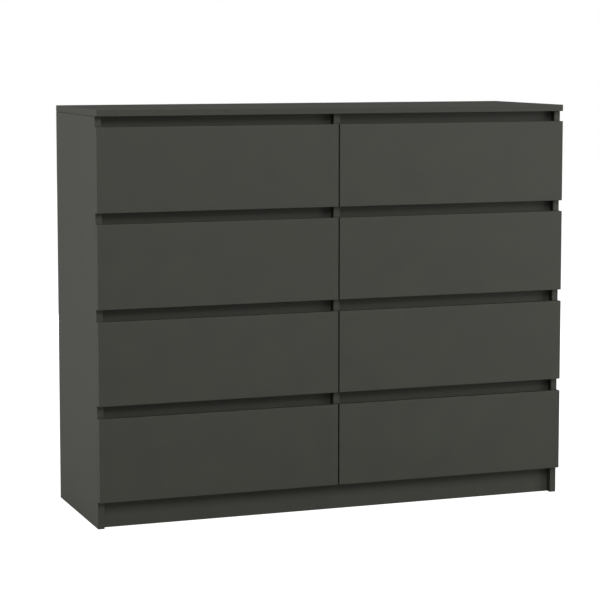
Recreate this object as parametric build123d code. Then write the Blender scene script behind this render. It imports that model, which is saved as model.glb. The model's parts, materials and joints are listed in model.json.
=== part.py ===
"""Chest of eight drawers in two columns of four, on roller runners.

Frame: millimetres. +X is to the right of a person facing the chest, -Y is
the front, +Z is up. The origin is on the floor under the middle of the chest.
Every node is written to parts/ as its own STEP file. Pieces that repeat inside
one node stay separate solids.
"""
import os

from build123d import *

# ---------------------------------------------------------------- overall
width = 1200.0
depth = 390.0
height = 985.0
board = 16.0                  # laminated board of the carcass and the fronts

# ---------------------------------------------------------------- rows
finger_gaps = [25.0, 26.5, 28.5, 29.5]    # above each row, top row first
plinth_show = 65.5            # floor to the lowest fronts
column_gap = 3.0              # between the two columns of fronts
closing_gap = 0.5             # shut front to the carcass edges behind it
front_groove_end = 4.0        # a front's groove runs this far past the sheet

# ---------------------------------------------------------------- carcass
rail_height = 60.0
rail_recess = 16.0            # crossrails and plinth, behind the panel edges
rail_cover = 16.0             # a rail reaches this far above the front over it
bottom_drop = 0.5             # lowest fronts hang this far below the panel top
back_sheet = 3.0
back_margin = 2.0             # back sheets stop short of the outer faces
back_joint = 1.0              # between the two back sheets

# ---------------------------------------------------------------- cam fittings
cam_radius = 7.4
cam_floor = 1.0               # disc below the pin's head
cam_bore_play = 0.1
cam_bore_floor = 0.5
cam_setback = 34.0            # disc centre from the joint
cam_slot_width = 1.4
cam_slot_length = 9.0
cam_slot_depth = 2.0
pin_thread_radius = 2.45
pin_thread_length = 11.0
pin_thread_play = 0.05
pin_shank_radius = 3.3
pin_neck_radius = 1.8
pin_neck_length = 5.0
pin_head_radius = 3.0
pin_head_length = 2.5
pin_bore_radius = 4.0
pin_end_play = 0.5
cam_throat_play = 0.5         # pin head in the disc's throat

# ---------------------------------------------------------------- dowels
dowel_radius = 4.0
dowel_face_length = 10.0
dowel_edge_length = 20.0
dowel_chamfer = 0.8
dowel_play = 0.05
dowel_end_play = 1.0

# ---------------------------------------------------------------- joint places
panel_cam_inset = 70.0        # from a panel's front and back edge
panel_dowel_inset = 120.0
rail_cam_high = 16.0          # above a rail's middle, left column
rail_joint_step = 12.0        # so joints from both sides miss in the divider
plinth_cam_rise = 10.0
plinth_dowel_drop = 14.0
plinth_dowel_pitch = 380.0

# ---------------------------------------------------------------- drawer box
side_clearance = 12.5         # runner space at each side of a drawer
drawer_board = 12.0
box_headroom = 10.0           # under the rail above, in the tightest row
box_back_space = 21.0         # behind the box to the back sheet
bottom_sheet = 3.0
bottom_rise = 10.0            # sheet above the sides' lower edge
groove_depth = 6.0
groove_play = 0.2
sheet_end_play = 0.5          # sheet short of the groove's floor
box_cam_low = 38.0            # lower cam above the side's lower edge
box_cam_high = 28.0           # upper cam below the side's upper edge
box_cam_depth = 9.5
box_screw_low = 32.0
box_screw_high = 28.0
box_screw_radius = 2.0

# ---------------------------------------------------------------- runners
runner_rise = 3.0             # above the rail or the bottom panel
runner_setback = 2.0
runner_overrun = 2.0          # channel runs on behind the drawer box
runner_steel = 1.2
channel_gap = 1.8             # channel flanges to the drawer's steel
channel_flange_cut = 3.0      # top flange starts this far behind the front roller
flange_over = 1.3             # drawer's flange over the channel
roller_gap = 0.3              # every roller to the face it runs on
roller_side_gap = 0.3
roller_chamfer = 0.8
rear_roller_radius = 8.0
front_roller_floor_gap = 0.8  # front roller to the channel's bottom flange
roller_inset = 12.0           # roller axle from its runner's end
axle_radius = 2.5
axle_play = 0.05
axle_head_radius = 4.0
axle_head_height = 1.2
axle_head_gap = 2.3           # axle head to the steel it faces
drawer_runner_front = 1.0     # behind the front's rear face
drawer_flange_drop = 3.0      # bottom flange above the channel's underside
drawer_flange_reach = 2.0     # top flange stops this far from the cabinet
travel_loss = 90.0            # length of the box that stays inside
stop_height = 3.0
stop_length = 3.5
stop_margin = 0.5

# ---------------------------------------------------------------- screws
screw_head_radius = 3.2
screw_head_height = 1.6
screw_shank_radius = 1.7
screw_length = 12.0
screw_hole_play = 0.1
screw_slot_radius = 1.3
screw_slot_depth = 0.9
screw_first = 37.0            # from the runner's front end
screw_pitch = 224.0
screw_hand_step = 16.0        # right-hand runners use the next holes

# ---------------------------------------------------------------- derived places
left = -width / 2
right = width / 2
front_y = -depth / 2
back_y = depth / 2
front_back_y = front_y + board
carcass_front_y = front_back_y + closing_gap
carcass_back_y = back_y - back_sheet
rail_front_y = carcass_front_y + rail_recess
rail_mid_y = rail_front_y + board / 2
top_under = height - board
front_height = (top_under - sum(finger_gaps) - plinth_show) / len(finger_gaps)

row_tops = []
row_bottoms = []
level = top_under
for finger_gap in finger_gaps:
    row_tops.append(level - finger_gap)
    row_bottoms.append(level - finger_gap - front_height)
    level = row_bottoms[-1]

bottom_under = row_bottoms[-1] + bottom_drop
bottom_top = bottom_under + board
shelf_levels = [low + rail_cover for low in row_bottoms[:-1]] + [bottom_top]
rail_tops = [top_under] + shelf_levels[:-1]
rail_mids = [top - rail_height / 2 for top in rail_tops]

left_inner = left + board
right_inner = right - board
divider_left = -board / 2
divider_right = board / 2

cam_rows_y = [carcass_front_y + panel_cam_inset, carcass_back_y - panel_cam_inset]
dowel_rows_y = [carcass_front_y + panel_dowel_inset, carcass_back_y - panel_dowel_inset]

# the runner's section, from the upright (X) and the channel's underside (Z)
rear_roller_rise = runner_steel + roller_gap + rear_roller_radius
channel_height = 2 * rear_roller_rise
drawer_flange_rise = channel_height + flange_over
front_roller_top = drawer_flange_rise - roller_gap
front_roller_radius = (front_roller_top - runner_steel - front_roller_floor_gap) / 2
front_roller_rise = front_roller_top - front_roller_radius
drawer_web_x = side_clearance - runner_steel
channel_width = drawer_web_x - channel_gap
axle_length = drawer_web_x - runner_steel - axle_head_height - axle_head_gap
roller_width = axle_length - 2 * roller_side_gap
rear_roller_x = drawer_web_x - roller_side_gap - roller_width
front_roller_x = runner_steel + roller_side_gap

# along the runner, and the height of the box that rides on it
box_back_y = carcass_back_y - box_back_space
runner_front_y = carcass_front_y + runner_setback
runner_back_y = box_back_y + runner_overrun
rear_roller_y = box_back_y - roller_inset
front_roller_y = runner_front_y + roller_inset
drawer_travel = box_back_y - front_back_y - travel_loss
box_rise = runner_rise + drawer_flange_drop + runner_steel
row_openings = [top - rail_height - shelf for top, shelf in zip(rail_tops, shelf_levels)]
box_height = min(row_openings) - box_rise - box_headroom


# ---------------------------------------------------------------- small builders
def block(x0, x1, y0, y1, z0, z1):
    """A box between two limits on each axis."""
    middle = Pos((x0 + x1) / 2, (y0 + y1) / 2, (z0 + z1) / 2)
    return middle * Box(abs(x1 - x0), abs(y1 - y0), abs(z1 - z0))


def rod(radius, start, direction, length):
    """A round bar that starts at a point and runs along a direction."""
    place = Plane(origin=start, z_dir=direction).location
    return place * Cylinder(radius, length, align=(Align.CENTER, Align.CENTER, Align.MIN))


def group(solids):
    """Separate solids kept together in one node."""
    return Compound(children=list(solids))


def write(shape, name):
    export_step(shape, "parts/" + name + ".step")


# ---------------------------------------------------------------- joints
class Joinery:
    """Collects the fittings of the carcass and the bores they need."""

    def __init__(self):
        self.cams = []
        self.dowels = []
        self.bores = {}

    def bore(self, name, cutter):
        self.bores.setdefault(name, []).append(cutter)

    def cam(self, edge_board, face_board, point, direction, normal):
        """Pin screwed into face_board, disc let into edge_board's face."""
        place = Plane(origin=point, x_dir=direction, z_dir=normal).location
        self.cams.append(place * cam_pin)
        self.cams.append(place * cam_disc)
        self.bore(edge_board, place * cam_edge_bore)
        self.bore(face_board, place * cam_face_bore)

    def dowel(self, edge_board, face_board, point, direction):
        side = (0, 0, 1) if direction[2] == 0 else (0, 1, 0)
        place = Plane(origin=point, x_dir=direction, z_dir=side).location
        self.dowels.append(place * dowel_pin)
        self.bore(edge_board, place * dowel_edge_bore)
        self.bore(face_board, place * dowel_face_bore)

    def cut(self, name, solid):
        for cutter in self.bores.get(name, []):
            solid = solid - cutter
        return solid


# Each template lies along +X out of the edge board, with +Z out of the face
# that takes the disc and the origin on the joint in the middle of the board.
forward = (1, 0, 0)
backward = (-1, 0, 0)
cam_top = board / 2
cam_height = cam_top + pin_head_radius + cam_floor
head_start = -cam_setback - pin_head_length / 2
neck_start = head_start + pin_head_length
shank_start = neck_start + pin_neck_length

cam_pin = rod(pin_head_radius, (head_start, 0, 0), forward, pin_head_length)
cam_pin += rod(pin_neck_radius, (neck_start, 0, 0), forward, pin_neck_length)
cam_pin += rod(pin_shank_radius, (shank_start, 0, 0), forward, -shank_start)
cam_pin += rod(pin_thread_radius, (0, 0, 0), forward, pin_thread_length)

cam_disc = rod(cam_radius, (-cam_setback, 0, cam_top - cam_height), (0, 0, 1), cam_height)
throat_radius = pin_head_radius + cam_throat_play
cam_disc -= rod(throat_radius, (-cam_setback - pin_head_length, 0, 0), forward, 2 * cam_radius)
slot_x = -cam_setback
slot_bottom = cam_top - cam_slot_depth
cam_disc -= block(slot_x - cam_slot_length / 2, slot_x + cam_slot_length / 2,
                  -cam_slot_width / 2, cam_slot_width / 2, slot_bottom, cam_top)
cam_disc -= block(slot_x - cam_slot_width / 2, slot_x + cam_slot_width / 2,
                  -cam_slot_length / 2, cam_slot_length / 2, slot_bottom, cam_top)

cam_bore_depth = cam_height + cam_bore_floor
cam_edge_bore = rod(cam_radius + cam_bore_play, (-cam_setback, 0, cam_top - cam_bore_depth),
                    (0, 0, 1), cam_bore_depth)
cam_edge_bore += rod(pin_bore_radius, (0, 0, 0), backward, cam_setback)
cam_face_bore = rod(pin_thread_radius + pin_thread_play, (0, 0, 0), forward,
                    pin_thread_length + pin_end_play)

dowel_length = dowel_face_length + dowel_edge_length
dowel_pin = rod(dowel_radius, (-dowel_edge_length, 0, 0), forward, dowel_length)
dowel_pin = chamfer(dowel_pin.edges().filter_by(GeomType.CIRCLE), dowel_chamfer)
dowel_edge_bore = rod(dowel_radius + dowel_play, (0, 0, 0), backward,
                      dowel_edge_length + dowel_end_play)
dowel_face_bore = rod(dowel_radius + dowel_play, (0, 0, 0), forward,
                      dowel_face_length + dowel_end_play)

joinery = Joinery()


# ---------------------------------------------------------------- carcass boards
boards = {
    "top_panel": block(left, right, front_y, carcass_back_y, top_under, height),
    "left_side_panel": block(left, left_inner, carcass_front_y, carcass_back_y, 0, top_under),
    "right_side_panel": block(right_inner, right, carcass_front_y, carcass_back_y, 0, top_under),
    "centre_divider": block(divider_left, divider_right, carcass_front_y, carcass_back_y,
                            bottom_top, top_under),
    "bottom_panel": block(left_inner, right_inner, carcass_front_y, carcass_back_y,
                          bottom_under, bottom_top),
    "plinth": block(left_inner, right_inner, rail_front_y, rail_front_y + board,
                    0, bottom_under),
}

left_mid = (left + left_inner) / 2
right_mid = (right + right_inner) / 2
up = (0, 0, 1)
down = (0, 0, -1)
to_left = (-1, 0, 0)
to_right = (1, 0, 0)
to_back = (0, 1, 0)

# uprights to the top panel, and the divider to the bottom panel
uprights = [
    ("left_side_panel", left_mid, to_right),
    ("right_side_panel", right_mid, to_left),
    ("centre_divider", 0, to_left),
]
for name, x, disc_side in uprights:
    for y in cam_rows_y:
        joinery.cam(name, "top_panel", (x, y, top_under), up, disc_side)
    for y in dowel_rows_y:
        joinery.dowel(name, "top_panel", (x, y, top_under), up)
for y in cam_rows_y:
    joinery.cam("centre_divider", "bottom_panel", (0, y, bottom_top), down, to_left)
for y in dowel_rows_y:
    joinery.dowel("centre_divider", "bottom_panel", (0, y, bottom_top), down)

# bottom panel and plinth to the sides
bottom_mid = (bottom_under + bottom_top) / 2
plinth_mid = bottom_under / 2
ends = [
    ("left_side_panel", left_inner, to_left),
    ("right_side_panel", right_inner, to_right),
]
for name, x, outward in ends:
    for y in cam_rows_y:
        joinery.cam("bottom_panel", name, (x, y, bottom_mid), outward, down)
    for y in dowel_rows_y:
        joinery.dowel("bottom_panel", name, (x, y, bottom_mid), outward)
    joinery.cam("plinth", name, (x, rail_mid_y, plinth_mid + plinth_cam_rise), outward, to_back)
    joinery.dowel("plinth", name, (x, rail_mid_y, plinth_mid - plinth_dowel_drop), outward)
for place in (-plinth_dowel_pitch, 0, plinth_dowel_pitch):
    joinery.dowel("plinth", "bottom_panel", (place, rail_mid_y, bottom_under), up)

# crossrails, one behind each finger gap of each column
columns = [
    ("left", left_inner, divider_left, "left_side_panel", "centre_divider", 0),
    ("right", divider_right, right_inner, "centre_divider", "right_side_panel", 1),
]
crossrails = []
for column, x0, x1, name0, name1, step in columns:
    for mid in rail_mids:
        rail = "rail_" + column + str(mid)
        cam_z = mid + rail_cam_high - step * rail_joint_step
        dowel_z = cam_z - 2 * rail_joint_step
        joinery.cam(rail, name0, (x0, rail_mid_y, cam_z), to_left, to_back)
        joinery.cam(rail, name1, (x1, rail_mid_y, cam_z), to_right, to_back)
        joinery.dowel(rail, name0, (x0, rail_mid_y, dowel_z), to_left)
        joinery.dowel(rail, name1, (x1, rail_mid_y, dowel_z), to_right)
        plain = block(x0, x1, rail_front_y, rail_front_y + board,
                      mid - rail_height / 2, mid + rail_height / 2)
        crossrails.append(joinery.cut(rail, plain))

back_low = bottom_under + back_margin
back_high = height - back_margin
back_panels = [
    block(left + back_margin, -back_joint / 2, carcass_back_y, back_y, back_low, back_high),
    block(back_joint / 2, right - back_margin, carcass_back_y, back_y, back_low, back_high),
]


# ---------------------------------------------------------------- runners
# A left-hand set is built with X measured from the upright it is screwed to
# and Z from the underside of its channel; a right-hand set is its mirror.
def cabinet_runner(screw_places):
    """Channel with its front axle and a stop, open towards the drawer."""
    y0 = runner_front_y
    y1 = runner_back_y
    flange_y = front_roller_y + front_roller_radius + channel_flange_cut
    channel = block(0, runner_steel, y0, y1, 0, channel_height)
    channel += block(0, channel_width, y0, y1, 0, runner_steel)
    channel += block(0, channel_width, flange_y, y1,
                     channel_height - runner_steel, channel_height)
    stop_drop = rear_roller_rise - runner_steel - stop_height
    stop_reach = (rear_roller_radius ** 2 - stop_drop ** 2) ** 0.5
    stop_y = rear_roller_y - drawer_travel - stop_reach - stop_margin
    channel += block(rear_roller_x, channel_width, stop_y - stop_length, stop_y,
                     runner_steel, runner_steel + stop_height)
    axle_at = (runner_steel, front_roller_y, front_roller_rise)
    channel += rod(axle_radius, axle_at, to_right, axle_length)
    head_at = (runner_steel + axle_length, front_roller_y, front_roller_rise)
    channel += rod(axle_head_radius, head_at, to_right, axle_head_height)
    for y in screw_places:
        hole_at = (0, y, channel_height / 2)
        channel -= rod(screw_shank_radius + screw_hole_play, hole_at, to_right, runner_steel)
    return channel


def drawer_runner():
    """Angle under the drawer side with the flange that rides on the front roller."""
    y0 = front_back_y + drawer_runner_front
    y1 = box_back_y
    top = drawer_flange_rise + runner_steel
    angle = block(drawer_web_x, side_clearance, y0, y1, drawer_flange_drop, top)
    angle += block(drawer_web_x, side_clearance + drawer_board, y0, y1,
                   drawer_flange_drop, drawer_flange_drop + runner_steel)
    angle += block(drawer_flange_reach, side_clearance, y0, y1, drawer_flange_rise, top)
    axle_at = (drawer_web_x, rear_roller_y, rear_roller_rise)
    angle += rod(axle_radius, axle_at, to_left, axle_length)
    head_at = (drawer_web_x - axle_length, rear_roller_y, rear_roller_rise)
    angle += rod(axle_head_radius, head_at, to_left, axle_head_height)
    for y in drawer_screw_places:
        hole_at = (drawer_web_x, y, drawer_screw_rise)
        angle -= rod(screw_shank_radius + screw_hole_play, hole_at, to_right, runner_steel)
    return angle


def roller(radius, x0, y, z):
    wheel = rod(radius, (x0, y, z), to_right, roller_width)
    rims = wheel.edges().filter_by(GeomType.CIRCLE)
    wheel = chamfer(rims, roller_chamfer)
    return wheel - rod(axle_radius + axle_play, (x0, y, z), to_right, roller_width)


def cabinet_screw(y):
    """Pan-head screw through the channel's web into the upright."""
    head_at = (runner_steel, y, channel_height / 2)
    screw = rod(screw_head_radius, head_at, to_right, screw_head_height)
    socket_at = (runner_steel + screw_head_height, y, channel_height / 2)
    screw -= rod(screw_slot_radius, socket_at, to_left, screw_slot_depth)
    return screw + rod(screw_shank_radius, head_at, to_left, screw_length + runner_steel)


def screw_bore(y):
    bore_at = (0, y, channel_height / 2)
    return rod(screw_shank_radius, bore_at, to_left, screw_length)


drawer_screw_rise = (drawer_flange_rise + rear_roller_rise) / 2
drawer_screw_places = [front_back_y + screw_first, front_back_y + screw_first + screw_pitch]
hand_steps = {"left": 0, "right": screw_hand_step}
screw_places = {}
for hand in hand_steps:
    first = runner_front_y + screw_first + hand_steps[hand]
    screw_places[hand] = [first, first + screw_pitch]

flip = Plane.YZ
channels = {"left": cabinet_runner(screw_places["left"])}
channels["right"] = cabinet_runner(screw_places["right"]).mirror(flip)
angles = {"left": drawer_runner()}
angles["right"] = angles["left"].mirror(flip)
rear_roller = roller(rear_roller_radius, rear_roller_x, rear_roller_y, rear_roller_rise)
rear_rollers = {"left": rear_roller, "right": rear_roller.mirror(flip)}
front_roller = roller(front_roller_radius, front_roller_x, front_roller_y, front_roller_rise)
front_rollers = {"left": front_roller, "right": front_roller.mirror(flip)}

runners = []
runner_screws = []
for column, x0, x1, name0, name1, step in columns:
    for shelf in shelf_levels:
        z = shelf + runner_rise
        for hand, x, name in (("left", x0, name0), ("right", x1, name1)):
            place = Pos(x, 0, z)
            runners.append(place * channels[hand])
            for y in screw_places[hand]:
                screw = cabinet_screw(y)
                bore = screw_bore(y)
                if hand == "right":
                    screw = screw.mirror(flip)
                    bore = bore.mirror(flip)
                runner_screws.append(place * screw)
                joinery.bore(name, place * bore)


# ---------------------------------------------------------------- drawers
def box_side(x_out, x_in, low):
    """One side board: groove for the sheet, bores for the front and the back."""
    side = block(x_out, x_in, front_back_y, box_back_y, low, low + box_height)
    inward = 1 if x_in > x_out else -1
    groove_z = low + bottom_rise
    side -= block(x_in - inward * groove_depth, x_in, front_back_y, box_back_y,
                  groove_z, groove_z + bottom_sheet + groove_play)
    for z in (low + box_cam_low, low + box_height - box_cam_high):
        centre_y = front_back_y + cam_setback
        floor_x = x_out + inward * box_cam_depth
        side -= rod(cam_radius + cam_bore_play, (floor_x, centre_y, z), (-inward, 0, 0), box_cam_depth)
        side -= rod(pin_bore_radius, ((x_out + x_in) / 2, front_back_y, z), to_back, cam_setback)
    for z in (low + box_screw_low, low + box_height - box_screw_high):
        screw_at = (x_out, box_back_y - drawer_board / 2, z)
        side -= rod(box_screw_radius, screw_at, (inward, 0, 0), drawer_board)
    return side


def drawer(x0, x1, front_x0, front_x1, row):
    """The boards of one drawer, in the order front, box, sheet."""
    low = shelf_levels[row] + box_rise
    out0 = x0 + side_clearance
    out1 = x1 - side_clearance
    in0 = out0 + drawer_board
    in1 = out1 - drawer_board
    groove_z = low + bottom_rise
    sheet_inset = groove_depth - sheet_end_play
    sheet_front_y = front_back_y - sheet_inset
    sheet = block(in0 - sheet_inset, in1 + sheet_inset, sheet_front_y, box_back_y,
                  groove_z, groove_z + bottom_sheet)
    front = block(front_x0, front_x1, front_y, front_back_y, row_bottoms[row], row_tops[row])
    front -= block(in0 - sheet_inset - front_groove_end, in1 + sheet_inset + front_groove_end,
                   front_back_y - groove_depth, front_back_y,
                   groove_z, groove_z + bottom_sheet + groove_play)
    for x in ((out0 + in0) / 2, (out1 + in1) / 2):
        for z in (low + box_cam_low, low + box_height - box_cam_high):
            front -= rod(pin_thread_radius + pin_thread_play, (x, front_back_y, z),
                         (0, -1, 0), pin_thread_length + pin_end_play)
    back = block(in0, in1, box_back_y - drawer_board, box_back_y,
                 groove_z + bottom_sheet, low + box_height)
    box = [box_side(out0, in0, low), box_side(out1, in1, low), back]
    return front, box, sheet


os.makedirs("parts", exist_ok=True)
fronts_x = {
    "left": (left, -column_gap / 2),
    "right": (column_gap / 2, right),
}
for column, x0, x1, name0, name1, step in columns:
    for row in range(len(row_tops)):
        name = "drawer_" + column + "_" + str(row + 1)
        front, box, sheet = drawer(x0, x1, *fronts_x[column], row)
        z = shelf_levels[row] + runner_rise
        at_left = Pos(x0, 0, z)
        at_right = Pos(x1, 0, z)
        write(front, name + "_front")
        write(group(box), name + "_box")
        write(sheet, name + "_bottom")
        for pair, label in ((angles, "_runners"), (rear_rollers, "_rear_rollers"),
                            (front_rollers, "_front_rollers")):
            write(group([at_left * pair["left"], at_right * pair["right"]]), name + label)

# ---------------------------------------------------------------- carcass files
for name in boards:
    write(joinery.cut(name, boards[name]), name)
write(group(crossrails), "crossrails")
write(group(back_panels), "back_panels")
write(group(runners), "cabinet_runners")
write(group(joinery.cams), "cam_fittings")
write(group(joinery.dowels), "dowels")
write(group(runner_screws), "cabinet_runner_screws")
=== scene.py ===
# %% [markdown]
# # A chest of eight drawers in matt graphite board
# The real piece is flat-pack furniture: 16 mm chipboard with a matt graphite laminate, handleless
# fronts with a finger gap above each, and drawers on roller runners. This lesson takes the cabinet
# maker's solids as a fixed frame, rounds and edges the boards, adds the small fasteners, gives each
# material its own finish and lights the piece in a plain studio.
# The solids are loaded first, because every position below is worked out from their boxes.

# %% Load the frame
import json
from math import radians, tau

import bmesh
import bpy
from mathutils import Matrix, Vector

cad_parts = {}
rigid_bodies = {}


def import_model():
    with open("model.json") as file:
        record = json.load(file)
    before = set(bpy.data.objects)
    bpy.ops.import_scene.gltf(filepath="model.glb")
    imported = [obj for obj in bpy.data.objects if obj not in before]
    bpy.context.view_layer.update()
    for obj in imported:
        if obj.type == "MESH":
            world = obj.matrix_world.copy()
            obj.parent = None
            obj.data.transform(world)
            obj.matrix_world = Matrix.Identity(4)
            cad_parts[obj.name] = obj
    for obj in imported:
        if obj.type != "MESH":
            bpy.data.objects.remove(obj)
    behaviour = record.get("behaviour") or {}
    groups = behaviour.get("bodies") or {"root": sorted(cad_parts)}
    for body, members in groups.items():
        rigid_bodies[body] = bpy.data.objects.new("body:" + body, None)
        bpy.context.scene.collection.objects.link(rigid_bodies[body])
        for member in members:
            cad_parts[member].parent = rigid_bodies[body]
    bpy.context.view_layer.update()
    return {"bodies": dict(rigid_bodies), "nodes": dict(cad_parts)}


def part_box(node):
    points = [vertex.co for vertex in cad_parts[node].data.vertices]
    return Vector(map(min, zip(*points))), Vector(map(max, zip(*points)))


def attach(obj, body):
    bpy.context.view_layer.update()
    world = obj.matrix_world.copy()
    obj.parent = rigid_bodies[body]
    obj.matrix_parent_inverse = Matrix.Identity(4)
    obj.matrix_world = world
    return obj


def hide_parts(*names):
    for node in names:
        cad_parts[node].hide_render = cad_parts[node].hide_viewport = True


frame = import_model()
nodes = frame["nodes"]

# %% [markdown]
# ## The camera
# The piece is seen from a little above its top and from its left, with upright lines that hardly lean.
# A camera that tilts down makes uprights lean together, and the usual cure is an architect's lens that
# slides down while the camera stays level. A slide that large would push the piece out of the frame as
# soon as the camera walks round it. So this camera slides its lens by some 8 per cent of the frame,
# tilts down by some six degrees for the rest, and stands well back with a long lens.

# %% Camera with a long lens
scene = bpy.context.scene
camera = bpy.data.objects.new("camera", bpy.data.cameras.new("camera"))
scene.collection.objects.link(camera)
scene.camera = camera
camera_place = (-1.80203, -4.78974, 1.12799)
tilt_down = 5.6913
turn_right = 20.3193
camera.location = camera_place
camera.rotation_euler = (radians(90 - tilt_down), 0, radians(-turn_right))
camera.data.sensor_width = 36
camera.data.lens = 123.387
camera.data.shift_y = -0.08
print("camera:", round(camera.data.lens, 1), "mm lens,", round(camera.location.z, 3), "m above the floor")

# %% [markdown]
# ## The studio
# Such a piece is shown on white paper with large, soft lamps around it, so shadows have no edges and
# the paper burns out to white. A sky image would light it too, but a few lamps and a
# faint fill are easier to balance. The left lamp sets how bright the side panel is. It stands a little
# behind, so it stays out of the finger gaps. The right one grades the fronts from left to right, and
# the high front one sets the top against the fronts and the shadow at the top of each gap. Two
# small lamps below the height of the top light the far side and the back, where the big ones miss.
# White paper would also throw much light back up at the fronts. The floor therefore bounces like grey
# paper, and only what the camera itself sees of it is lifted to white, with a trace of shadow left.

# %% Colour from a swatch
def swatch(code):
    """The linear colour of a painter's sRGB hex code."""
    parts = [int(code[i : i + 2], 16) / 255 for i in (1, 3, 5)]
    return tuple([c / 12.92 if c <= 0.04045 else ((c + 0.055) / 1.055) ** 2.4 for c in parts] + [1.0])


print("graphite in linear light:", [round(c, 4) for c in swatch("#404239")])

# %% One helper that adds a node
def add(tree, kind, settings={}, inputs={}):
    """Adds a node, sets its properties, and fills its sockets with values or with other nodes' outputs."""
    node = tree.nodes.new(kind)
    for name, value in settings.items():
        setattr(node, name, value)
    for name, value in inputs.items():
        if isinstance(value, bpy.types.NodeSocket):
            tree.links.new(value, node.inputs[name])
        else:
            node.inputs[name].default_value = value
    return node


print("helper ready: add(tree, kind, settings, inputs)")

# %% Faint fill from the air, white behind the piece
fill_strength = 0.26
scene.view_settings.view_transform = "Standard"
scene.world = bpy.data.worlds.new("studio_air")
scene.world.use_nodes = True
air = scene.world.node_tree
air.nodes.clear()
seen = add(air, "ShaderNodeLightPath").outputs["Is Camera Ray"]
fill = add(air, "ShaderNodeBackground", {}, {"Color": swatch("#FFFFFF"), "Strength": fill_strength})
white = add(air, "ShaderNodeBackground", {}, {"Color": swatch("#FFFFFF"), "Strength": 1.0})
air_mix = add(air, "ShaderNodeMixShader", {}, {0: seen, 1: fill.outputs[0], 2: white.outputs[0]})
add(air, "ShaderNodeOutputWorld", {}, {"Surface": air_mix.outputs[0]})
print("fill strength:", fill_strength)

# %% Soft lamps
aim_at = Vector((0, 0, 0.5))


def softbox(name, place, size, power):
    """A square area lamp at a place, turned to shine at the middle of the piece."""
    lamp = bpy.data.lights.new(name, "AREA")
    lamp.shape = "SQUARE"
    lamp.size = size
    lamp.energy = power
    stand = bpy.data.objects.new(name, lamp)
    stand.location = place
    stand.rotation_euler = (aim_at - Vector(place)).to_track_quat("-Z", "Y").to_euler()
    stand.visible_camera = False
    scene.collection.objects.link(stand)
    print(name, place, power, "W")


softbox("front_lamp", (0.0, -5.8, 4.67), 3.1, 207.0)
softbox("left_lamp", (-4.017, 1.076, 1.085), 1.8, 78.6)
softbox("right_lamp", (3.602, -2.08, 1.085), 1.8, 46.0)
softbox("low_right_lamp", (3.9, 0.6, 0.45), 0.8, 30.0)
softbox("low_back_lamp", (0.8, 3.6, 0.45), 0.8, 60.0)

# %% Paper floor
half = 12.0
bounced_grey = (0.4, 0.4, 0.4, 1)
shadowed_grey = (0.6, 0.6, 0.6, 1)
glow = 0.9
corners = [(-half, -half, 0), (half, -half, 0), (half, half, 0), (-half, half, 0)]
floor_mesh = bpy.data.meshes.new("floor")
floor_mesh.from_pydata(corners, [], [(0, 1, 2, 3)])
floor = bpy.data.objects.new("floor", floor_mesh)
scene.collection.objects.link(floor)
paper = bpy.data.materials.new("studio_paper")
paper.use_nodes = True
ground = paper.node_tree
ground.nodes.clear()
seen = add(ground, "ShaderNodeLightPath").outputs["Is Camera Ray"]
bounce = add(ground, "ShaderNodeBsdfDiffuse", {}, {"Color": bounced_grey})
pale = add(ground, "ShaderNodeBsdfDiffuse", {}, {"Color": shadowed_grey})
lift = add(ground, "ShaderNodeEmission", {}, {"Color": swatch("#FFFFFF"), "Strength": glow})
shown = add(ground, "ShaderNodeAddShader", {}, {0: pale.outputs[0], 1: lift.outputs[0]})
paper_mix = add(ground, "ShaderNodeMixShader", {}, {0: seen, 1: bounce.outputs[0], 2: shown.outputs[0]})
add(ground, "ShaderNodeOutputMaterial", {}, {"Surface": paper_mix.outputs[0]})
floor_mesh.materials.append(paper)
print("floor:", 2 * half, "m square, staged")

# %% [markdown]
# ## The graphite laminate
# Melamine-faced board is a printed paper pressed under a textured plate. Up close it has a fine pearl
# of dimples, a faint cloudiness from the resin, and hardly any gloss. It could be a flat grey, but
# then a big front looks like plastic. So two near greys are mixed by a wide noise, a fine noise makes
# the dimples, and the roughness wanders a little. The rounded corners get rubbed first, so there the
# colour lifts and the gloss rises, wherever a face's "edge" mark says so.

# %% Scale of a pattern from its real size
def grain(mm):
    """The texture scale that gives features of that size, as object coordinates are in metres."""
    return 1000 / mm


print("1.4 mm features need a scale of", round(grain(1.4)))

# %% Start and finish a material
def blank(name):
    """A new material's empty tree, and the output that gives object coordinates."""
    material = bpy.data.materials.new(name)
    material.use_nodes = True
    material.node_tree.nodes.clear()
    return material.node_tree, add(material.node_tree, "ShaderNodeTexCoord").outputs["Object"]


def finish(name, colour, rough, height, depth, **constants):
    """Joins the sockets of a colour, a roughness and a height in one shader. depth is in metres."""
    material = bpy.data.materials[name]
    tree = material.node_tree
    relief = add(tree, "ShaderNodeBump", {}, {"Strength": 1.0, "Distance": depth, "Height": height})
    shader = add(tree, "ShaderNodeBsdfPrincipled", {},
                 {"Base Color": colour, "Roughness": rough, "Normal": relief.outputs[0]})
    for socket, value in constants.items():
        shader.inputs[socket.replace("_", " ")].default_value = value
    add(tree, "ShaderNodeOutputMaterial", {}, {"Surface": shader.outputs[0]})
    print("material:", name, "with", len(tree.nodes), "nodes")
    return material


# %% Small mixing helpers
def noise(tree, place, mm, detail=2.0):
    """A noise with features of that size."""
    values = {"Vector": place, "Scale": grain(mm), "Detail": detail}
    return add(tree, "ShaderNodeTexNoise", {}, values).outputs["Fac"]


def blend(tree, share, one, other):
    """A colour between two, which are hex codes or colour sockets."""
    ends = [swatch(c) if isinstance(c, str) else c for c in (one, other)]
    return add(tree, "ShaderNodeMix", {"data_type": "RGBA"}, {0: share, 6: ends[0], 7: ends[1]}).outputs[2]


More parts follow.
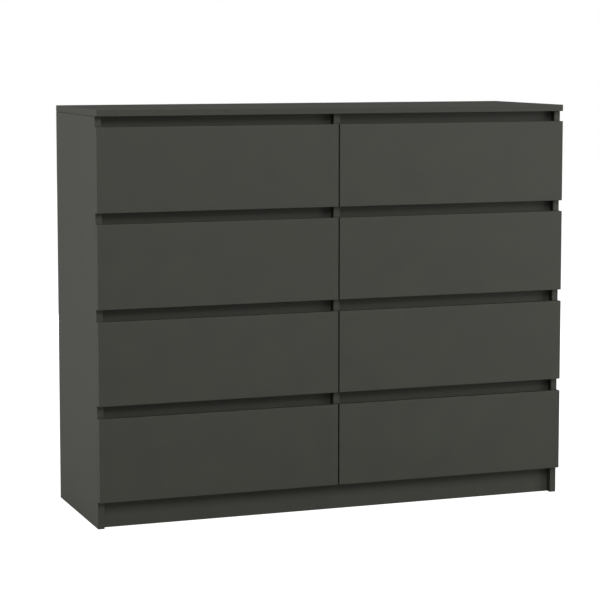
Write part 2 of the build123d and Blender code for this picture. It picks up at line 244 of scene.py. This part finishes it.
def remap(tree, value, low, high, start=0.3, stop=0.7):
    """A value that runs from low to high while the noise runs from start to stop."""
    return add(tree, "ShaderNodeMapRange", {}, {0: value, 1: start, 2: stop, 3: low, 4: high}).outputs[0]


def rubbed(tree, place):
    """How far a rounded edge is rubbed, in patches of 18 mm, and nothing on flat faces."""
    edge = add(tree, "ShaderNodeAttribute", {"attribute_name": "edge"}).outputs["Fac"]
    patches = noise(tree, place, 18, 3.0)
    return add(tree, "ShaderNodeMath", {"operation": "MULTIPLY"}, {0: edge, 1: patches}).outputs[0]


print("helpers ready: noise, blend, remap, rubbed")

# %% Matt graphite laminate
tree, place = blank("graphite_laminate")
cloud = noise(tree, place, 70, 4.0)
# real dimples are about 0.4 mm, drawn coarser so that they don't shimmer
pearl = noise(tree, place, 1.4)
worn = rubbed(tree, place)
rub_shine = -0.12  # roughness that a rubbed edge loses
tone = blend(tree, remap(tree, cloud, 0.0, 1.0), "#3D3E36", "#404239")
fleck = blend(tree, remap(tree, pearl, 0.0, 0.14), tone, "#515349")
rough = add(tree, "ShaderNodeMath", {"operation": "MULTIPLY_ADD"},
            {0: worn, 1: rub_shine, 2: remap(tree, cloud, 0.58, 0.62)}).outputs[0]
laminate = finish("graphite_laminate", blend(tree, worn, fleck, "#484A40"), rough, pearl, 0.00002)

# %% [markdown]
# ## Edging strip and raw chipboard
# The strip is coloured through and extruded, so it is smoother than the laminate beside it and has a
# faint ripple instead of a pearl. Raw chipboard shows where no strip is glued and inside the holes:
# pale flakes of wood in darker resin. A Voronoi texture gives each flake its own tone and edge.

# %% Edging strip
tree, place = blank("edging_strip")
ripple = noise(tree, place, 6, 3.0)
worn = rubbed(tree, place)
tone = blend(tree, remap(tree, ripple, 0.0, 1.0), "#3C3D35", "#404239")
edging = finish("edging_strip", blend(tree, worn, tone, "#484A40"), remap(tree, ripple, 0.46, 0.54),
                ripple, 0.00003)

# %% Raw chipboard
tree, place = blank("raw_chipboard")
flakes = add(tree, "ShaderNodeTexVoronoi", {}, {"Vector": place, "Scale": grain(2.6)})
fibre = noise(tree, place, 0.8, 3.0)
tone = blend(tree, flakes.outputs["Color"], "#8C6B42", "#CBAB78")
chipboard = finish("raw_chipboard", blend(tree, fibre, tone, "#A98A5C"), remap(tree, fibre, 0.8, 0.95),
                   flakes.outputs["Distance"], 0.0003)

# %% [markdown]
# ## Drawer foil, hardboard and beech
# The drawer sides have a printed linen look: threads one way and threads the other. Noise that is
# stretched along one axis gives threads, and two of them crossed give linen. Hardboard is pressed
# fibre, raw and brown on one face and lacquered pale on the other, which faces into the drawer or into
# the cabinet, so the face's own direction chooses between them. Beech dowels have short dark rays.

# %% Linen foil
tree, place = blank("linen_foil")
threads = []
for pull in ((1.0, 1.0, 0.03), (0.03, 0.03, 1.0)):
    turned = add(tree, "ShaderNodeMapping", {}, {"Vector": place, "Scale": pull}).outputs[0]
    threads.append(noise(tree, turned, 1.2))  # threads of the print are about 0.5 mm, drawn coarser
linen_print = add(tree, "ShaderNodeMath", {"operation": "MULTIPLY"},
                  {0: threads[0], 1: threads[1]}).outputs[0]
tone = blend(tree, remap(tree, linen_print, 0.0, 1.0, 0.12, 0.4), "#8D8E8A", "#B3B4AF")
linen = finish("linen_foil", tone, remap(tree, linen_print, 0.62, 0.5, 0.12, 0.4), linen_print, 0.00004)

# %% Hardboard, lacquered on one face
tree, place = blank("hardboard")
# the lacquer is on the faces that look up, into a drawer, or to the front, into the cabinet
facing = add(tree, "ShaderNodeSeparateXYZ", {},
             {0: add(tree, "ShaderNodeNewGeometry").outputs["True Normal"]})
inward = add(tree, "ShaderNodeMath", {"operation": "SUBTRACT"},
             {0: facing.outputs["Z"], 1: facing.outputs["Y"]})
lacquered = add(tree, "ShaderNodeMath", {"operation": "GREATER_THAN"},
                {0: inward.outputs[0], 1: 0.5}).outputs[0]
fuzz = noise(tree, place, 3.0, 6.0)
wide = noise(tree, place, 90, 3.0)
raw = blend(tree, remap(tree, fuzz, 0.0, 1.0), "#6E5238", "#9C7B56")
raw = blend(tree, remap(tree, wide, 0.0, 0.22), raw, "#AD8E68")
coat = blend(tree, remap(tree, wide, 0.0, 1.0), "#B1B1AC", "#B9B9B4")
hardboard = finish("hardboard", blend(tree, lacquered, raw, coat),
                   remap(tree, lacquered, 0.8, 0.38, 0, 1), fuzz, 0.00004)

# %% Beech
tree, place = blank("beech")
along = add(tree, "ShaderNodeMapping", {}, {"Vector": place, "Scale": (0.12, 1.0, 1.0)}).outputs[0]
rays = noise(tree, along, 1.0, 4.0)
tone = blend(tree, remap(tree, rays, 0.0, 1.0), "#A9784E", "#D6AE84")
beech = finish("beech", tone, remap(tree, rays, 0.5, 0.65), rays, 0.0001)

# %% [markdown]
# ## Metal and nylon
# Roller runners are folded steel with a baked powder coat, pale grey with an orange-peel skin. The
# screws, cams and nails are zinc plated: a bluish metal whose roughness changes from patch to patch
# and whose tumbling marks are fine. The rollers are moulded nylon, cloudy and a little waxy.

# %% Powder-coated steel
tree, place = blank("powder_coated_steel")
peel = noise(tree, place, 1.6, 1.0)
shade = noise(tree, place, 30)
tone = blend(tree, remap(tree, shade, 0.0, 1.0), "#C6C7C4", "#D1D2CE")
coated_steel = finish("powder_coated_steel", tone, remap(tree, shade, 0.3, 0.4), peel, 0.00006)

# %% Zinc plating
tree, place = blank("zinc_plating")
patch = noise(tree, place, 2.5, 3.0)
pulled = add(tree, "ShaderNodeMapping", {}, {"Vector": place, "Scale": (1.0, 0.1, 0.6)}).outputs[0]
scratch = noise(tree, pulled, 0.5)
tone = blend(tree, remap(tree, patch, 0.0, 1.0), "#A9ADB2", "#C8CACB")
zinc = finish("zinc_plating", tone, remap(tree, patch, 0.28, 0.5), scratch, 0.00003, Metallic=1.0)

# %% Moulded nylon
tree, place = blank("moulded_nylon")
haze = noise(tree, place, 5, 3.0)
nylon = finish("moulded_nylon", blend(tree, remap(tree, haze, 0.0, 1.0), "#DEDBD0", "#ECEAE2"),
               remap(tree, haze, 0.35, 0.5), noise(tree, place, 0.9), 0.00003, Subsurface_Weight=0.1)

# %% [markdown]
# ## Boards with edging strips
# Each board is sawn, then a plastic strip is glued on the edges that show and its corners are
# rounded, so a finger never meets a sharp edge. Edges that nobody sees stay raw chipboard. A bevel
# faked in a material would do for one picture, but it makes no dark joint between two boards. So each
# board is a copy of the cabinet maker's solid, with its holes, that gets real rounded edges here. A
# copy of loose triangles has no shared corners, so its corners are merged first. The side panels stop
# half a millimetre short of the top, as sawn boards do, and that slit is the dark line one sees.

# %% Split a solid into its boards
def boards_of(name):
    """One bmesh for each separate board in a frame node, with its corners merged."""
    whole = bmesh.new()
    whole.from_mesh(nodes[name].data)
    bmesh.ops.remove_doubles(whole, verts=whole.verts, dist=1e-5)
    left, boards = set(whole.faces), []
    while left:
        queue = [left.pop()]
        group = list(queue)
        while queue:
            for line in queue.pop().edges:
                for face in line.link_faces:
                    if len(line.link_faces) == 2 and face in left:
                        left.discard(face)
                        queue.append(face)
                        group.append(face)
        board, made = bmesh.new(), {}
        for face in sorted(group, key=lambda f: f.index):
            for v in face.verts:
                if v not in made:
                    made[v] = board.verts.new(v.co)
            board.faces.new([made[v] for v in face.verts])
        board.normal_update()
        bmesh.ops.dissolve_limit(board, angle_limit=radians(1), verts=board.verts, edges=board.edges)
        boards.append(board)
    whole.free()
    return boards


print("crossrails holds", len(boards_of("crossrails")), "boards")

# %% Extents, and the outer faces that a point lies on
def extents(board):
    """The lowest and highest corner of a board."""
    return [Vector([pick(v.co[k] for v in board.verts) for k in range(3)]) for pick in (min, max)]


def outer(point, low, high):
    """The names of the outer faces that hold a point, such as -y for the front."""
    near = 1e-5
    sides = [(s + "xyz"[k], point[k] - c[k]) for k in range(3) for s, c in (("-", low), ("+", high))]
    return {name for name, gap in sides if abs(gap) < near}


print("a front's corner lies on", sorted(outer((0, 0, 1), Vector((0, 0, 0)), Vector((1, 1, 1)))))

# %% Round the edges and lay on the strips
def dress(board, strips, radius, strip):
    """Rounds a board's outer edges. Its faces get a finish: 0 laminate, 1 edging strip, 2 raw board."""
    low, high = extents(board)
    thin = min(range(3), key=lambda k: high[k] - low[k])
    mark = board.faces.layers.float.new("edge")
    lines = []
    for line in board.edges:
        ends = [outer(v.co, low, high) for v in line.verts]
        if len(ends[0] & ends[1]) > 1:
            lines.append(line)
    rounds = bmesh.ops.bevel(board, geom=lines, offset=radius, segments=3, profile=0.5,
                             affect="EDGES")["faces"]
    for face in rounds:
        face[mark] = 1.0
        face.smooth = True
    for name in strips:
        k, s = "xyz".index(name[1]), (1 if name[0] == "+" else -1)
        cut = Vector((0, 0, 0))
        cut[k] = (high[k] if s > 0 else low[k]) - s * strip
        facing = Vector((0, 0, 0))
        facing[k] = s
        everything = board.verts[:] + board.edges[:] + board.faces[:]
        bmesh.ops.bisect_plane(board, geom=everything, plane_co=cut, plane_no=facing)
    for face in board.faces:
        spot = face.calc_center_median()
        on = outer(spot, low, high)
        inside = min(min(spot[k] - low[k], high[k] - spot[k]) for k in range(3)) > 2 * radius
        banded = any(strip > ((high[k] - spot[k]) if s == "+" else (spot[k] - low[k]))
                     for s, k in ((n[0], "xyz".index(n[1])) for n in strips))
        if banded:
            face.material_index = 1
        elif inside or (on and "xyz"[thin] not in "".join(on) and not face[mark]):
            face.material_index = 2
        else:
            face.material_index = 0
    return len(lines)


print("helper ready: dress(board, strips, radius, strip)")

# %% Put dressed boards in place of a node
strip_width = 0.0013


def dressed(node, body, strips, radius, finishes, joint=0.0):
    """A piece with every board of a node dressed, which stands in for that node and rides on its body.
    joint is how far the top is sawn short, which leaves a dark line under the board above."""
    whole = bpy.data.meshes.new(node + "_dressed")
    all_boards = bmesh.new()
    rounded = 0
    for board in boards_of(node):
        rounded += dress(board, strips, radius, strip_width)
        part = bpy.data.meshes.new("part")
        board.to_mesh(part)
        board.free()
        all_boards.from_mesh(part)
        bpy.data.meshes.remove(part)
    all_boards.to_mesh(whole)
    all_boards.free()
    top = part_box(node)[1].z
    for v in whole.vertices:
        if v.co.z > top - 1.5 * radius:
            v.co.z -= joint
    for material in finishes:
        whole.materials.append(material)
    piece = bpy.data.objects.new(node + "_dressed", whole)
    scene.collection.objects.link(piece)
    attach(piece, body)
    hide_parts(node)
    print(node, "->", len(whole.polygons), "faces,", rounded, "edges rounded")


print("helper ready: dressed, with a strip", strip_width * 1000, "mm wide")

# %% Dress the graphite boards
corner_radius = 0.001
graphite = [laminate, edging, chipboard]
shown_edges = {
    "top_panel": ["-y", "-x", "+x"],
    "left_side_panel": ["-y"],
    "right_side_panel": ["-y"],
    "centre_divider": ["-y"],
    "bottom_panel": ["-y"],
    "plinth": [],
    "crossrails": ["-z"],
}
saw_short = 0.0005
for name, strips in shown_edges.items():
    joint = saw_short if "side_panel" in name else 0.0
    dressed(name, "carcass", strips, corner_radius, graphite, joint)

# %% Dress the drawer fronts
drawers = sorted(b for b in frame["bodies"] if b.startswith("drawer") and "rollers" not in b)
for drawer in drawers:
    dressed(drawer + "_front", drawer, ["-x", "+x", "-z", "+z"], corner_radius, graphite)
print("drawers:", drawers)

# %% [markdown]
# ## Drawer sides wrapped in foil
# The 12 mm sides and back of a drawer box are wrapped in a printed foil that turns over the upper and
# the lower edge, which is why those edges are softer than an edging strip's. The two ends stay raw.
# The same function does it with a larger radius, and only the finishes differ.

# %% Wrap the drawer boxes
wrap_radius = 0.0018
for drawer in drawers:
    dressed(drawer + "_box", drawer, ["+z", "-z"], wrap_radius, [linen, linen, chipboard])

# %% [markdown]
# ## Screws, cams and nails
# Everything that holds the drawers and the back together is the same idea: a turned head with a cross
# driven into it, on a shank. There are well over a hundred of them, which is what Geometry Nodes are
# for. One tree makes one fastener from named sizes and sets a copy on each point of a mesh, with its
# head looking along the point's "outward" arrow and turned by chance, as a hand driver leaves it. A
# cam is a wide flat head sunk in its bore, a screw has a domed head, and a nail's cross is a mere nick.

# %% Declare a tree's named inputs
def new_tree(name, inputs):
    """A Geometry Nodes tree with geometry in and out and the named inputs, and its two end nodes."""
    tree = bpy.data.node_groups.new(name, "GeometryNodeTree")
    tree.interface.new_socket("Geometry", in_out="OUTPUT", socket_type="NodeSocketGeometry")
    tree.interface.new_socket("Geometry", in_out="INPUT", socket_type="NodeSocketGeometry")
    for label, (kind, value) in inputs.items():
        socket = tree.interface.new_socket(label, in_out="INPUT", socket_type="NodeSocket" + kind)
        if value is not None:
            socket.default_value = value
    return tree, add(tree, "NodeGroupInput").outputs, add(tree, "NodeGroupOutput").inputs


sizes = {
    "Head Radius": ("Float", 0.0035),
    "Head Height": ("Float", 0.002),
    "Dome": ("Float", 0.0012),
    "Sink": ("Float", 0.0),
    "Cross Length": ("Float", 0.004),
    "Cross Width": ("Float", 0.0008),
    "Cross Depth": ("Float", 0.0012),
    "Shank Radius": ("Float", 0.0015),
    "Shank Length": ("Float", 0.012),
    "Seed": ("Int", 7),
    "Material": ("Material", None),
}
print("a fastener has", len(sizes), "named inputs")

# %% The fastener tree: the head
fastener, given, result = new_tree("fastener", sizes)
blank_head = add(fastener, "GeometryNodeMeshCylinder", {"fill_type": "TRIANGLE_FAN"},
                 {"Vertices": 24, "Side Segments": 1, "Fill Segments": 5,
                  "Radius": given["Head Radius"], "Depth": given["Head Height"]}).outputs["Mesh"]
spot = add(fastener, "GeometryNodeInputPosition").outputs[0]
xyz = add(fastener, "ShaderNodeSeparateXYZ", {}, {0: spot}).outputs
flat = add(fastener, "ShaderNodeCombineXYZ", {}, {"X": xyz["X"], "Y": xyz["Y"]}).outputs[0]
reach = add(fastener, "ShaderNodeVectorMath", {"operation": "LENGTH"}, {0: flat}).outputs["Value"]
share = add(fastener, "ShaderNodeMath", {"operation": "DIVIDE"},
            {0: reach, 1: given["Head Radius"]}).outputs[0]
bow = add(fastener, "ShaderNodeMath", {"operation": "POWER"}, {0: share, 1: 2.2}).outputs[0]
drop = add(fastener, "ShaderNodeMath", {"operation": "MULTIPLY"}, {0: bow, 1: given["Dome"]}).outputs[0]
down = add(fastener, "ShaderNodeVectorMath", {"operation": "SCALE"},
           {0: (0, 0, -1), "Scale": drop}).outputs[0]
upper = add(fastener, "ShaderNodeMath", {"operation": "GREATER_THAN"}, {0: xyz["Z"], 1: 0.0}).outputs[0]
domed = add(fastener, "GeometryNodeSetPosition", {},
            {"Geometry": blank_head, "Selection": upper, "Offset": down}).outputs[0]
print("head:", len(fastener.nodes), "nodes")

# %% The fastener tree: the cross
top = add(fastener, "ShaderNodeMath", {"operation": "MULTIPLY"},
          {0: given["Head Height"], 1: 0.5}).outputs[0]
lift = add(fastener, "ShaderNodeCombineXYZ", {}, {"Z": top}).outputs[0]
double = add(fastener, "ShaderNodeMath", {"operation": "MULTIPLY"},
             {0: given["Cross Depth"], 1: 2.0}).outputs[0]
bars = []
for x, y in (("Cross Length", "Cross Width"), ("Cross Width", "Cross Length")):
    size = add(fastener, "ShaderNodeCombineXYZ", {}, {"X": given[x], "Y": given[y], "Z": double}).outputs[0]
    bar = add(fastener, "GeometryNodeMeshCube", {}, {"Size": size}).outputs["Mesh"]
    lifted = add(fastener, "GeometryNodeTransform", {}, {"Geometry": bar, "Translation": lift})
    bars.append(lifted.outputs[0])
cross = add(fastener, "GeometryNodeMeshBoolean", {"operation": "DIFFERENCE", "solver": "EXACT"},
            {"Mesh 1": domed})
for bar in bars:
    fastener.links.new(bar, cross.inputs["Mesh 2"])
print("cross:", len(bars), "bars cut away")

# %% The fastener tree: shank, copies and material
half_head = add(fastener, "ShaderNodeMath", {"operation": "SUBTRACT"},
                {0: top, 1: given["Sink"]}).outputs[0]
seat = add(fastener, "ShaderNodeCombineXYZ", {}, {"Z": half_head}).outputs[0]
head = add(fastener, "GeometryNodeTransform", {},
           {"Geometry": cross.outputs["Mesh"], "Translation": seat}).outputs[0]
rod = add(fastener, "GeometryNodeMeshCylinder", {},
          {"Vertices": 12, "Radius": given["Shank Radius"], "Depth": given["Shank Length"]}).outputs["Mesh"]
half_rod = add(fastener, "ShaderNodeMath", {"operation": "MULTIPLY"},
               {0: given["Shank Length"], 1: -0.5}).outputs[0]
rod_low = add(fastener, "ShaderNodeMath", {"operation": "SUBTRACT"},
              {0: half_rod, 1: given["Sink"]}).outputs[0]
rod_seat = add(fastener, "ShaderNodeCombineXYZ", {}, {"Z": rod_low}).outputs[0]
shank = add(fastener, "GeometryNodeTransform", {}, {"Geometry": rod, "Translation": rod_seat}).outputs[0]
whole = add(fastener, "GeometryNodeJoinGeometry")
for part in (shank, head):
    fastener.links.new(part, whole.inputs[0])
outward = add(fastener, "GeometryNodeInputNamedAttribute", {"data_type": "FLOAT_VECTOR"},
              {"Name": "outward"}).outputs[0]
aim = add(fastener, "FunctionNodeAlignRotationToVector", {"axis": "Z"}, {"Vector": outward}).outputs[0]
chance = add(fastener, "FunctionNodeRandomValue", {"data_type": "FLOAT"},
             {2: 0.0, 3: tau, "Seed": given["Seed"]}).outputs[1]
twist = add(fastener, "FunctionNodeAxisAngleToRotation", {},
            {"Axis": (0, 0, 1), "Angle": chance}).outputs[0]
turn = add(fastener, "FunctionNodeRotateRotation", {"rotation_space": "LOCAL"},
           {0: aim, 1: twist}).outputs[0]
copies = add(fastener, "GeometryNodeInstanceOnPoints", {},
             {"Points": given["Geometry"], "Instance": whole.outputs[0], "Rotation": turn}).outputs[0]
real = add(fastener, "GeometryNodeRealizeInstances", {}, {"Geometry": copies}).outputs[0]
painted = add(fastener, "GeometryNodeSetMaterial", {},
              {"Geometry": real, "Material": given["Material"]}).outputs[0]
fastener.links.new(painted, result["Geometry"])
print("fastener tree:", len(fastener.nodes), "nodes")

# %% Run a tree and keep the plain mesh
crease = radians(35)  # edges steeper than this stay sharp


def grown(name, start, tree, body, slot, **values):
    """Runs a tree on a mesh with its named inputs set, and keeps the result as a plain piece on a body."""
    carrier = bpy.data.objects.new(name + "_points", start)
    scene.collection.objects.link(carrier)
    modifier = carrier.modifiers.new("grow", "NODES")
    modifier.node_group = tree
    for item in tree.interface.items_tree:
        label = item.name.replace(" ", "_")
        if item.in_out == "INPUT" and label in values:
            modifier[item.identifier] = values[label]
    ready = carrier.evaluated_get(bpy.context.evaluated_depsgraph_get())
    mesh = bpy.data.meshes.new_from_object(ready)
    mesh.name = name
    bpy.data.objects.remove(carrier)
    mesh.shade_smooth()
    mesh.set_sharp_from_angle(angle=crease)
    piece = bpy.data.objects.new(name, mesh)
    scene.collection.objects.link(piece)
    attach(piece, body)
    print(name, "->", len(mesh.polygons), "faces on", body)


print("helper ready: grown(name, start, tree, body, slot)")

# %% A mesh of points with arrows
def points(spots):
    """A mesh with a vertex at each place, and the way that a fastener's head looks there."""
    mesh = bpy.data.meshes.new("points")
    mesh.from_pydata([place for place, arrow in spots], [], [])
    arrows = mesh.attributes.new("outward", "FLOAT_VECTOR", "POINT")
    arrows.data.foreach_set("vector", [c for place, arrow in spots for c in arrow])
    return mesh


cam = dict(Head_Radius=0.0073, Head_Height=0.009, Dome=0.0003, Sink=0.0091, Cross_Length=0.008,
           Cross_Width=0.0016, Cross_Depth=0.003, Shank_Radius=0.003, Shank_Length=0.0003, Material=zinc)
pan_screw = dict(Head_Radius=0.0032, Head_Height=0.0014, Dome=0.0008, Sink=0.0, Cross_Length=0.0038,
                 Cross_Width=0.0008, Cross_Depth=0.001, Shank_Radius=0.0014, Shank_Length=0.0115,
                 Material=zinc)
back_screw = dict(pan_screw, Head_Radius=0.0036, Head_Height=0.0016, Shank_Radius=0.0017, Shank_Length=0.04)
nail = dict(Head_Radius=0.0024, Head_Height=0.0005, Dome=0.0002, Sink=0.0, Cross_Length=0.0002,
            Cross_Width=0.0002, Cross_Depth=0.0001, Shank_Radius=0.0007, Shank_Length=0.018, Material=zinc)
print("fasteners: cam, pan screw, back screw, nail")

# %% Cams and screws of each drawer
cam_setback = 0.034  # behind the box's front end
cam_low, cam_high = 0.038, 0.028  # above the box's lower edge, and below its upper edge
screw_low, screw_high = 0.032, 0.028
back_middle = 0.006  # half the back board's thickness, before the box's rear end
runner_screws = (0.037, 0.261)  # behind the box's front end
runner_middle = 0.0107  # above the box's lower edge
runner_steel = 0.0012  # the sheet that a screw's head sits on
for number, drawer in enumerate(drawers):
    low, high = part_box(drawer + "_box")
    cams, screws, backs = [], [], []
    for x, way in ((low.x, -1), (high.x, 1)):
        arrow = (way, 0, 0)
        for z in (low.z + cam_low, high.z - cam_high):
            cams.append(((x, low.y + cam_setback, z), arrow))
        for z in (low.z + screw_low, high.z - screw_high):
            backs.append(((x, high.y - back_middle, z), arrow))
        for y in runner_screws:
            screws.append(((x + way * runner_steel, low.y + y, low.z + runner_middle), arrow))
    for name, spots, kind in (("_front_cams", cams, cam), ("_back_screws", backs, back_screw),
                              ("_runner_screws", screws, pan_screw)):
        grown(drawer + name, points(spots), fastener, drawer, "zinc_plated_steel", Seed=number, **kind)

# %% [markdown]
# ## Nails along the back
# The two hardboard panels are nailed to the cabinet's edges all round, a hand's width apart. That is
# a row that follows a line, so a second tree turns the line into evenly spaced points, gives each the
# same arrow and hands them to the first tree.

# %% The nail row tree
row_sizes = dict(sizes, Pitch=("Float", 0.1), Arrow=("Vector", (0.0, 1.0, 0.0)))
row, given, result = new_tree("nail_row", row_sizes)
line = add(row, "GeometryNodeMeshToCurve", {}, {"Mesh": given["Geometry"]}).outputs[0]
dots = add(row, "GeometryNodeCurveToPoints", {"mode": "LENGTH"},
           {"Curve": line, "Length": given["Pitch"]}).outputs["Points"]
aimed = add(row, "GeometryNodeStoreNamedAttribute", {"data_type": "FLOAT_VECTOR", "domain": "POINT"},
            {"Geometry": dots, "Name": "outward", "Value": given["Arrow"]}).outputs[0]
driven = add(row, "GeometryNodeGroup", {"node_tree": fastener},
             {"Geometry": aimed, **{label: given[label] for label in sizes}}).outputs[0]
row.links.new(driven, result["Geometry"])
print("nail row tree:", len(row.nodes), "nodes")

# %% Nail the back panels
half_board = 0.008
nail_pitch = 0.1
nail_seed = 3
back_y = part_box("back_panels")[1].y
top_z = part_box("top_panel")[0].z + half_board
low_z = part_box("bottom_panel")[0].z + half_board
side_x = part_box("right_side_panel")[0].x + half_board
middle_x = 0.0045  # from the joint of the two sheets, over the divider
lines, runs = [], []
for way in (-1, 1):
    start = len(lines)
    for x, z in ((side_x, low_z), (side_x, top_z), (middle_x, top_z), (middle_x, low_z)):
        lines.append((way * x, back_y, z))
    runs += [(start + k, start + (k + 1) % 4) for k in range(4)]
nail_lines = bpy.data.meshes.new("nail_lines")
nail_lines.from_pydata(lines, runs, [])
grown("back_nails", nail_lines, row, "carcass", "zinc_plated_steel", Pitch=nail_pitch, Seed=nail_seed,
      **nail)

# %% [markdown]
# ## Finishes for the parts that keep their shape
# The runners, rollers, cams, dowels and thin sheets already have their real shape in the frame, so
# they only need a finish. Each keeps the slot that the cabinet maker gave it, and the slot's name
# says which finish it takes.

# %% Assign finishes by slot
finishes = {
    "graphite_board": laminate,
    "drawer_board": linen,
    "fibreboard": hardboard,
    "runner_steel": coated_steel,
    "roller_nylon": nylon,
    "zinc_plated_steel": zinc,
    "beech": beech,
}
count = {}
for node in nodes.values():
    for holder in node.material_slots:
        slot_name = holder.material.name
        holder.material = finishes[slot_name]
        count[slot_name] = count.get(slot_name, 0) + 1
print("finished nodes by slot:", count)
